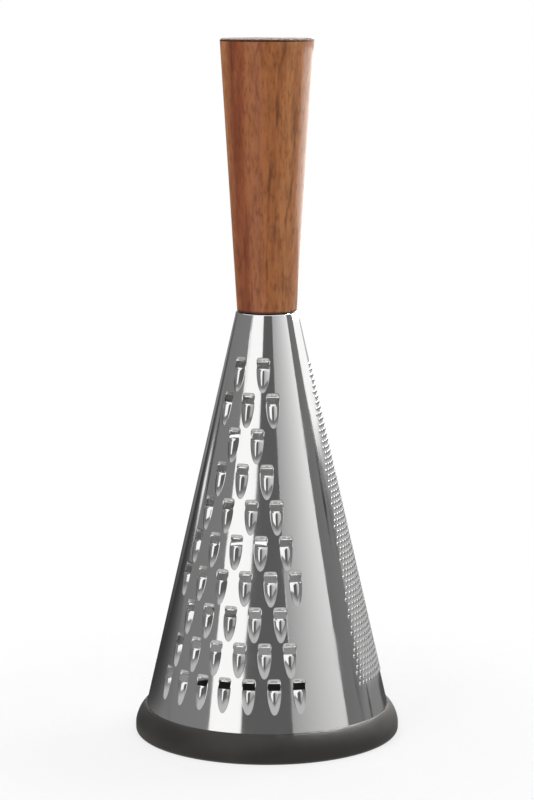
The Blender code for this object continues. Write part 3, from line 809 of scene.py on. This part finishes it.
def wood_material(name):
    """Oiled hardwood: broad stripes that follow the taper, fine streaks, dark veins and pores."""
    graph = Surface(name)
    figure = graph.stretch(graph.place, (1.0, 1.0, 1.0), turn=WOOD_TURN)
    axes = graph.feed(graph.node("ShaderNodeSeparateXYZ"), vector=figure)
    height = axes.outputs["Z"]
    radius = graph.span(height, HANDLE_LOW.z, HANDLE_HIGH.z, NECK_RADIUS, HANDLE_HIGH.x)
    across = graph.math("DIVIDE", axes.outputs["X"], radius)

    def grain(stretch, shift=0.0, **values):
        """Noise that is drawn out along the grain."""
        return graph.noise(graph.stretch(figure, stretch, (shift, 0.0, 0.0)), **values)

    def wobbling(value, noise, amount):
        """A value shifted to and fro by a noise."""
        return graph.math("MULTIPLY_ADD", graph.math("SUBTRACT", noise, 0.5), amount, value)

    def vein(low, high, start, stop, width, seed):
        """A darker line that runs from one place across the grain to another."""
        wobble = graph.noise(graph.stretch(graph.place, VEIN_WOBBLE, (seed, seed, 0.0)), detail=3.0)
        at = wobbling(graph.span(height, low, high, start, stop), wobble, 0.16)
        gap = graph.math("ABSOLUTE", graph.math("SUBTRACT", across, at))
        ends = graph.math("MULTIPLY", graph.span(height, low - 0.010, low + 0.002, soft=True),
                          graph.span(height, high - 0.002, high + 0.010, 1.0, 0.0, soft=True))
        broken = grain(VEIN_BREAKS, seed, detail=3.0)
        line = graph.math("MULTIPLY", graph.span(gap, width * 0.15, width, 1.0, 0.0, soft=True),
                          graph.span(broken, 0.38, 0.6, 0.15, 1.0))
        return graph.math("MULTIPLY", line, ends)

    bent = wobbling(across, grain(SWAY, detail=3.0), 0.42)
    colour = graph.ramp(graph.span(bent, -1.0, 1.0), WOOD_STRIPES)
    streaks = grain(STREAKS, 0.01, detail=4.0, roughness=0.6)
    shadow = graph.math("MULTIPLY_ADD", streaks, 0.45,
                        graph.math("MULTIPLY", grain(BANDS, detail=2.0), 0.35))
    shadow = graph.math("MULTIPLY_ADD", grain(MOTTLE, detail=3.0), 0.37, shadow)
    colour = graph.mix(1.0, colour, graph.ramp(shadow, WOOD_SHADES), "MULTIPLY")
    for strength, numbers in WOOD_VEINS:
        colour = graph.mix(graph.math("MULTIPLY", vein(*numbers), strength), colour, VEIN_BROWN)
    patches = graph.span(grain(PATCHES, 0.3, detail=3.0), 0.5, 0.75, 0.0, 0.45)
    colour = graph.mix(patches, colour, GOLDEN_BROWN)
    flecks = graph.span(grain(FLECKS, 0.7, detail=3.0), 0.5, 0.72, 0.0, 0.52)
    colour = graph.mix(flecks, colour, VEIN_BROWN)
    foot = graph.span(height, HANDLE_LOW.z + 0.4 * MM, HANDLE_LOW.z + 1.1 * MM, 0.75, 0.0,
                      soft=True)
    colour = graph.mix(foot, colour, FOOT_SHADOW)
    pore = graph.span(graph.noise(graph.stretch(graph.place, PORES), detail=1.0), 0.66, 0.74)
    colour = graph.mix(graph.math("MULTIPLY", pore, 0.5), colour, VEIN_BROWN)
    graph.feed(graph.shader, base_color=colour,
               roughness=graph.span(streaks, 0.3, 0.7, 0.5, 0.62),
               specular_ior_level=0.2, coat_weight=0.5, coat_roughness=0.16)
    graph.relief(graph.math("SUBTRACT", streaks, pore), 0.3, 0.1 * MM)
    return graph.material


def end_grain_material(name):
    """Darker end grain with growth rings."""
    graph = Surface(name)
    wave = graph.node("ShaderNodeTexWave", wave_type="RINGS", rings_direction="Z")
    graph.feed(wave, vector=graph.stretch(graph.place, (1.0, 1.0, 0.0), (0.02, 0.04, 0.0)),
               scale=150.0, distortion=3.0, detail=3.0)
    rings = wave.outputs["Fac"]
    graph.feed(graph.shader, base_color=graph.ramp(rings, END_GRAIN), roughness=0.85,
               specular_ior_level=0.1)
    graph.relief(rings, 0.2, 0.1 * MM)
    return graph.material


def rubber_material(name):
    """Matt black rubber with moulding grain and faint rub marks."""
    graph = Surface(name)
    cloud = graph.noise(graph.place, 70.0, 4.0)
    graph.feed(graph.shader, base_color=graph.ramp(cloud, RUBBER_SHADES),
               roughness=graph.span(cloud, 0.0, 1.0, 0.45, 0.57))
    graph.relief(graph.noise(graph.place, 2600.0), 0.25, 0.05 * MM)
    return graph.material


def dress(piece, material, slot, *nodes):
    """Give a piece its material, body and the solids that it stands for; slot is not used."""
    piece.data.materials.append(material)
    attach(piece, "root")
    if nodes:
        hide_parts(*nodes)


def dress_node(node, material):
    """Give a kept CAD node a better material."""
    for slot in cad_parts[node].material_slots:
        slot.material = material


def make_cone():
    """The punched sheet, polished outside and plain inside."""
    piece = make_sheet("punched_cone")
    dress(piece, steel_material("cone_steel", (0.93, 0.93, 0.925), 0.05, 0.12, 0.25),
          "polished_steel", "grater_cone")
    piece.data.materials.append(steel_material("cone_inside", (0.80, 0.80, 0.795), 0.25, 0.38, 0.3))


def make_handle():
    """The turned handle with its bore; its flat top and rounded edge show end grain."""
    low, high = HANDLE_LOW, HANDLE_HIGH
    radius = high.x
    foot = NECK_RADIUS - 0.45 * MM
    top_round = 1.0 * MM
    foot_round = 0.4 * MM
    bore = 4.4 * MM
    bore_top = low.z + 21.0 * MM
    profile = [(0.0, high.z), (radius * 0.5, high.z)]
    profile += arc((radius - top_round, high.z - top_round), top_round, 90.0, 0.0, 8)
    rows = 24
    for i in range(1, rows):
        share = i / rows
        z = high.z - top_round + (low.z + foot_round - high.z + top_round) * share
        profile.append((radius + (foot - radius) * share, z))
    profile += arc((foot - foot_round, low.z + foot_round), foot_round, 0.0, -90.0, 5)
    profile += [(bore, low.z), (bore, bore_top), (0.0, bore_top)]
    piece = turned("turned_handle", profile, 128)
    dress(piece, wood_material("oiled_wood"), "wood", "handle")
    piece.data.materials.append(end_grain_material("end_grain"))
    for polygon in piece.data.polygons:
        if polygon.center.z > high.z - 0.95 * top_round:
            polygon.material_index = 1


def cone_radius(z, inset=0.0):
    """Radius of the cone's outer skin at a height, or of a skin that lies further in."""
    return (APEX_Z - z) * math.tan(HALF_ANGLE) - inset / COS_HALF


def make_ring():
    """The rubber bead: a rounded outside, a lip against the sheet and a groove for its foot."""
    outer = RING_HIGH.x
    gap = 0.3 * MM
    top = RING_HIGH.z + 0.6 * MM
    lip_inner = cone_radius(top) + gap * 0.5
    lip_outer = lip_inner + 0.2 * MM
    lip_start = (lip_inner, top - 0.15 * MM)
    belly = 3.9 * MM
    steps = 18
    squareness = 2 / 1.5
    foot_round = 1.8 * MM
    wall_round = 0.8 * MM
    groove_foot = 2.2 * MM
    inner = cone_radius(FOOT_Z, SHEET + gap) - 4.2 * MM
    inner_top = 8.5 * MM
    groove = cone_radius(inner_top, SHEET + gap)
    profile = [lip_start, (lip_inner + 0.12 * MM, top)]
    for i in range(steps + 1):
        turn = math.pi / 2 * i / steps
        profile.append((lip_outer + (outer - lip_outer) * math.sin(turn) ** squareness,
                        belly + (top - belly) * math.cos(turn) ** squareness))
    profile += arc((outer - foot_round, foot_round), foot_round, 0.0, -90.0, 8)
    profile += arc((inner + wall_round, wall_round), wall_round, -90.0, -180.0, 5)
    profile += arc((groove - wall_round, inner_top - wall_round), wall_round, 180.0, 90.0, 5)
    profile += [(groove, inner_top), (cone_radius(groove_foot, SHEET + gap), groove_foot),
                (cone_radius(groove_foot) + gap, groove_foot), lip_start]
    piece = turned("rubber_bead", profile, 192)
    dress(piece, rubber_material("black_rubber"), "rubber", "base_ring")


def dress_small_parts():
    """The fastening inside the neck keeps its solids."""
    dress_node("top_cap", steel_material("cap_steel", (0.72, 0.72, 0.71), 0.22, 0.36, 0.2))
    zinc = steel_material("zinc_steel", (0.70, 0.71, 0.73), 0.25, 0.42, 0.3)
    dress_node("washer", zinc)
    dress_node("fixing_screw", zinc)
    brass = steel_material("insert_brass", (0.78, 0.55, 0.24), 0.22, 0.4, 0.2)
    dress_node("threaded_insert", brass)


# Cards round the object, which only its reflections see, as upright bands. Azimuths are degrees
# to the right of the camera's, and levels are display levels as the steel shows them.
# Left edge of the pale table beside the object: (height, azimuth)
TABLE_EDGE = ((0.0, 141.0), (0.114, 137.5), (0.196, 135.5), (0.293, 131.5), (0.385, 127.5),
              (0.493, 123.5), (0.563, 119.4), (0.727, 114.9), (0.827, 111.4), (1.016, 107.4),
              (1.254, 104.4))
# Name, radius, levels at the start and at the stop, and rows of (height, start, stop), which may
# end with levels of their own
WALL_CARDS = (
    ("card_left", 9.0, (112, 120), (
        (0.0, -180, -54.7), (1.16, -180, -56.5), (1.45, -180, -58.2), (2.56, -180, -59.3),
        (2.74, -180, -52.3), (3.1, -180, -50.3), (7.0, -180, -47.3))),
    ("card_middle", 9.0, (88, 88), (
        (0.0, -26.1, 24.1), (1.73, -24.1, 24.1), (3.09, -12.1, 18.1), (7.0, -8.1, 18.1))),
    ("card_fade", 9.0, None, (
        (0.0, 24.1, 82.6, 150, 200), (0.83, 24.1, 81.6, 152, 208), (1.84, 24.1, 78.6, 153, 228),
        (3.09, 18.1, 73.6, 162, 232), (7.0, 18.1, 69.6, 162, 232))),
    ("card_right", 9.0, (104, 112), (
        (0.0, 82.6, 104.4), (0.83, 81.6, 104.4), (1.84, 78.6, 103.4), (3.09, 73.6, 98.4),
        (7.0, 69.6, 96.4))),
    ("card_low", 9.0, (112, 112),
     [(z, 104.4, min(110, stop)) for z, stop in TABLE_EDGE]),
    ("card_table_edge", 9.0, (112, 160),
     [(z, 110, min(114.5, stop)) for z, stop in TABLE_EDGE if stop > 110]),
    ("card_table", 9.0, (160, 170),
     [(z, 114.5, stop) for z, stop in TABLE_EDGE if stop > 114.5]),
    ("table_shade", 8.9, (92, 150), (
        (0.285, 116.4, 131.7), (0.38, 110.4, 127.6), (0.55, 110.4, 120.0), (0.825, 108.4, 111.4))),
    ("streak_wall", 8.8, (50, 50), (
        (0.013, 103.7, 104.9), (0.059, 102.7, 103.9), (0.123, 101.7, 102.9),
        (0.171, 100.7, 101.9), (0.229, 99.7, 100.9), (0.282, 98.9, 99.7))),
    ("patch_right", 8.9, (62, 62), ((0.80, 99.4, 105.4), (1.055, 99.4, 104.4))),
    ("patch_far_left", 8.9, None, (
        (0.0, -147, -133.5, 66, 76), (0.3, -147, -133.5, 84, 84), (0.6, -147, -134, 104, 104))),
    ("patch_left", 8.9, (62, 62), ((0.51, -120.4, -113.4), (0.78, -119.5, -113.4))),
    ("patch_white", 8.9, (232, 232), ((0.10, -130.4, -123.4), (0.40, -126.5, -121.4))),
    ("card_rim", 0.15, (420, 420), (
        (0.157, 166, 180), (0.165, 150, 180), (0.175, 134, 180), (0.184, 117, 180),
        (0.191, 101, 180), (0.27, 98, 180))),
    ("card_sheen", 0.9, (1900, 2600), ((1.1, 128, 176), (2.4, 128, 176))),
    ("card_back", 9.0, (175, 175), ((1.5, 104, 180), (14.0, 104, 180))))
WALL_STEPS = 24

# Ground in reflections: levels by azimuth far away and close by, and the radii by azimuth
# where the bright table begins and where the dark rim by the silhouette ends. The dark rim is
# the object's shadow on the ground, painted into the card
GROUND_FAR = ((-180, 130), (-149, 130), (-144, 60), (-140, 56), (-126, 84), (-112, 106),
              (-80, 110), (80, 110), (110, 112), (114.5, 168), (132, 172), (180, 178))
GROUND_NEAR = ((-180, 56), (-140, 56), (-126, 70), (-112, 110), (-80, 180), (80, 180),
               (100, 116), (112, 122), (150, 128), (180, 128))
TABLE_START = ((80, 4.0), (110, 3.0), (111, 1.83), (115, 0.77), (121, 0.45), (126, 0.32),
               (131, 0.245), (136, 0.20), (141, 0.165), (146, 0.142), (180, 0.142))
# Painted shadow: radii by azimuth where the object's shadow on the ground ends, then its display
# level
SHADOW_RIM_END = ((110, 0.07), (120, 0.104), (124, 0.118), (128.5, 0.145), (132, 0.17), (136, 0.168),
           (140, 0.158), (146, 0.14), (180, 0.14))
SHADOW_RIM_LEVEL = 74
NEAR_RADIUS = 0.25
FAR_RADIUS = 1.8
GROUND_RADII = (0.0537, 0.065, 0.08, 0.1, 0.12, 0.14, 0.16, 0.18, 0.21, 0.25, 0.3, 0.36, 0.43,
                0.51, 0.6, 0.72, 0.87, 1.04, 1.25, 1.5, 1.8, 2.3, 3.0, 5.0, 9.0)
GROUND_STEP = 2
GROUND_HEIGHT = 0.4 * MM
# Dark streak on the ground: (azimuth, radius) of its near and of its far edge
GROUND_STREAK = ((107.4, 0.219), (106.8, 0.261), (111.0, 0.310), (109.8, 0.377), (113.3, 0.413),
                 (111.8, 0.513), (114.8, 0.532), (113.0, 0.677), (115.8, 0.635), (113.8, 0.822))
STREAK_LEVEL = 76
INSIDE_RADIUS = 0.045
INSIDE_LEVEL = 150


def glow_material(name):
    """A card's own light; its level is stored on the mesh."""
    material = bpy.data.materials.new(name)
    tree = Tree(material)
    level = tree.node("ShaderNodeAttribute", attribute_name="level").outputs["Fac"]
    light = tree.feed(tree.node("ShaderNodeEmission"), strength=level)
    tree.close("ShaderNodeOutputMaterial", light)
    return material


def add_card(name, points, faces, levels, material):
    """A sheet that only reflections see."""
    mesh = bpy.data.meshes.new(name)
    mesh.from_pydata(points, [], faces)
    attribute = mesh.attributes.new("level", "FLOAT", "POINT")
    attribute.data.foreach_set("value", [linear(level) / METAL_LEVEL for level in levels])
    mesh.materials.append(material)
    piece = add_object(name, mesh)
    piece.visible_camera = False
    piece.visible_diffuse = False
    piece.visible_shadow = False
    piece.visible_transmission = False


def around(azimuth, radius, z):
    """A place by its azimuth in degrees to the right of the camera's, radius and height."""
    turn = math.radians(azimuth) + CAMERA_AZIMUTH
    return (radius * math.sin(turn), -radius * math.cos(turn), z)


def grid_faces(rows, columns):
    """Quads between the points of a grid that is stored row by row."""
    return [(j * columns + i, j * columns + i + 1, (j + 1) * columns + i + 1, (j + 1) * columns + i)
            for j in range(rows - 1) for i in range(columns - 1)]


def wall_card(name, radius, levels, rows, material):
    """An upright curved card."""
    points = []
    point_levels = []
    for z, start, stop, *own in rows:
        first, last = own or levels
        for i in range(WALL_STEPS + 1):
            share = i / WALL_STEPS
            points.append(around(start + (stop - start) * share, radius, z))
            point_levels.append(first + (last - first) * share)
    add_card(name, points, grid_faces(len(rows), WALL_STEPS + 1), point_levels, material)


def between(rows, at):
    """Value at a place along (place, value) rows, straight between them."""
    for (a, low), (b, high) in zip(rows, rows[1:]):
        if at <= b:
            return low + (high - low) * max(0.0, at - a) / (b - a)
    return rows[-1][1]


def ground_level(azimuth, radius):
    """Display level of the ground in reflections, with a painted shadow beside the silhouette."""
    near = between(GROUND_NEAR, azimuth)
    far = between(GROUND_FAR, azimuth)
    if azimuth < 100:
        reach = math.log(radius / NEAR_RADIUS) / math.log(FAR_RADIUS / NEAR_RADIUS)
        return near + (far - near) * min(1.0, max(0.0, reach))
    beyond = smooth(0.5 + math.log(radius / between(TABLE_START, azimuth)) / 0.3)
    # painted shadow of the object on the ground, beside its silhouette
    rim = smooth(0.5 - math.log(radius / between(SHADOW_RIM_END, azimuth)) / 0.25)
    return (near + (far - near) * beyond) * (1.0 - rim) + SHADOW_RIM_LEVEL * rim


def make_cards():
    """The cards on the wall, on the ground and inside the cone."""
    material = glow_material("card_light")
    for name, radius, levels, rows in WALL_CARDS:
        wall_card(name, radius, levels, rows, material)
    azimuths = range(-180, 181, GROUND_STEP)
    spots = [(azimuth, radius) for radius in GROUND_RADII for azimuth in azimuths]
    add_card("card_ground", [around(*spot, GROUND_HEIGHT) for spot in spots],
             grid_faces(len(GROUND_RADII), len(azimuths)), [ground_level(*spot) for spot in spots],
             material)
    points = [around(*spot, 2 * GROUND_HEIGHT) for spot in GROUND_STREAK]
    add_card("streak_ground", points, grid_faces(len(points) // 2, 2),
             [STREAK_LEVEL] * len(points), material)
    points = [around(azimuth, INSIDE_RADIUS, GROUND_HEIGHT) for azimuth in range(-180, 180, 10)]
    add_card("card_inside", points, [tuple(range(len(points)))], [INSIDE_LEVEL] * len(points),
             material)


def make_floor():
    """A pale floor that keeps the object's shadow and fades to white further off."""
    mesh = bpy.data.meshes.new("floor")
    size = 14.0
    mesh.from_pydata([(-size, -size, 0), (size, -size, 0), (size, size, 0), (-size, size, 0)],
                     [], [(0, 1, 2, 3)])
    floor = add_object("floor", mesh)
    material = bpy.data.materials.new("floor_paper")
    tree = Tree(material)
    paper = tree.feed(tree.node("ShaderNodeBsdfDiffuse"), color=PAPER)
    white = tree.node("ShaderNodeEmission")
    distance = tree.feed(tree.node("ShaderNodeVectorMath", operation="LENGTH"),
                         vector=tree.node("ShaderNodeTexCoord").outputs["Object"])
    fade = tree.span(distance.outputs["Value"], 0.06, 0.20, 0.75, 1.0, soft=True)
    tree.close("ShaderNodeOutputMaterial", paper, white,
               factor=tree.math("MULTIPLY", tree.seen(), fade))
    mesh.materials.append(material)


def make_world():
    """White surroundings for the eye and for reflections, soft light for everything else."""
    world = bpy.data.worlds.new("studio")
    bpy.context.scene.world = world
    tree = Tree(world)
    soft = tree.feed(tree.node("ShaderNodeBackground"), color=WHITE, strength=SOFT_LIGHT)
    white = tree.feed(tree.node("ShaderNodeBackground"), color=WHITE)
    tree.close("ShaderNodeOutputWorld", soft, white, factor=tree.seen())


def lamp(name, azimuth, distance, height, width, tall, power):
    """A soft area lamp aimed at the object's middle, which reflections don't see."""
    data = bpy.data.lights.new(name, "AREA")
    data.shape = "RECTANGLE"
    data.size = width
    data.size_y = tall
    data.energy = power
    piece = add_object(name, data)
    piece.location = around(azimuth, distance, height)
    aim = Vector((0.0, 0.0, LAMP_AIM_HEIGHT)) - piece.location
    piece.rotation_euler = aim.to_track_quat("-Z", "Y").to_euler()
    piece.visible_glossy = False


def make_lamps():
    """Three soft lamps: from the left, from the right behind, and from above."""
    lamp("key", -35.0, 1.6, 1.0, 0.9, 0.9, 9.0)
    lamp("side", 125.0, 1.5, 0.35, 0.7, 1.2, 12.0)
    lamp("top", 10.0, 0.6, 1.6, 1.0, 1.0, 4.0)


def make_camera():
    """The camera at the photograph's viewing angle."""
    data = bpy.data.cameras.new("camera")
    data.sensor_width = SENSOR
    data.lens = CAMERA_FOCAL / IMAGE_HEIGHT * SENSOR
    data.clip_start = 0.05
    data.clip_end = 40.0
    camera = add_object("camera", data)
    camera.location = around(0.0, CAMERA_DISTANCE, CAMERA_HEIGHT)
    camera.rotation_euler = (math.pi / 2 - CAMERA_PITCH, 0.0, CAMERA_AZIMUTH)
    bpy.context.scene.camera = camera


bpy.context.scene.view_settings.view_transform = "Standard"
make_camera()
make_cone()
make_handle()
make_ring()
dress_small_parts()
make_world()
make_cards()
make_floor()
make_lamps()
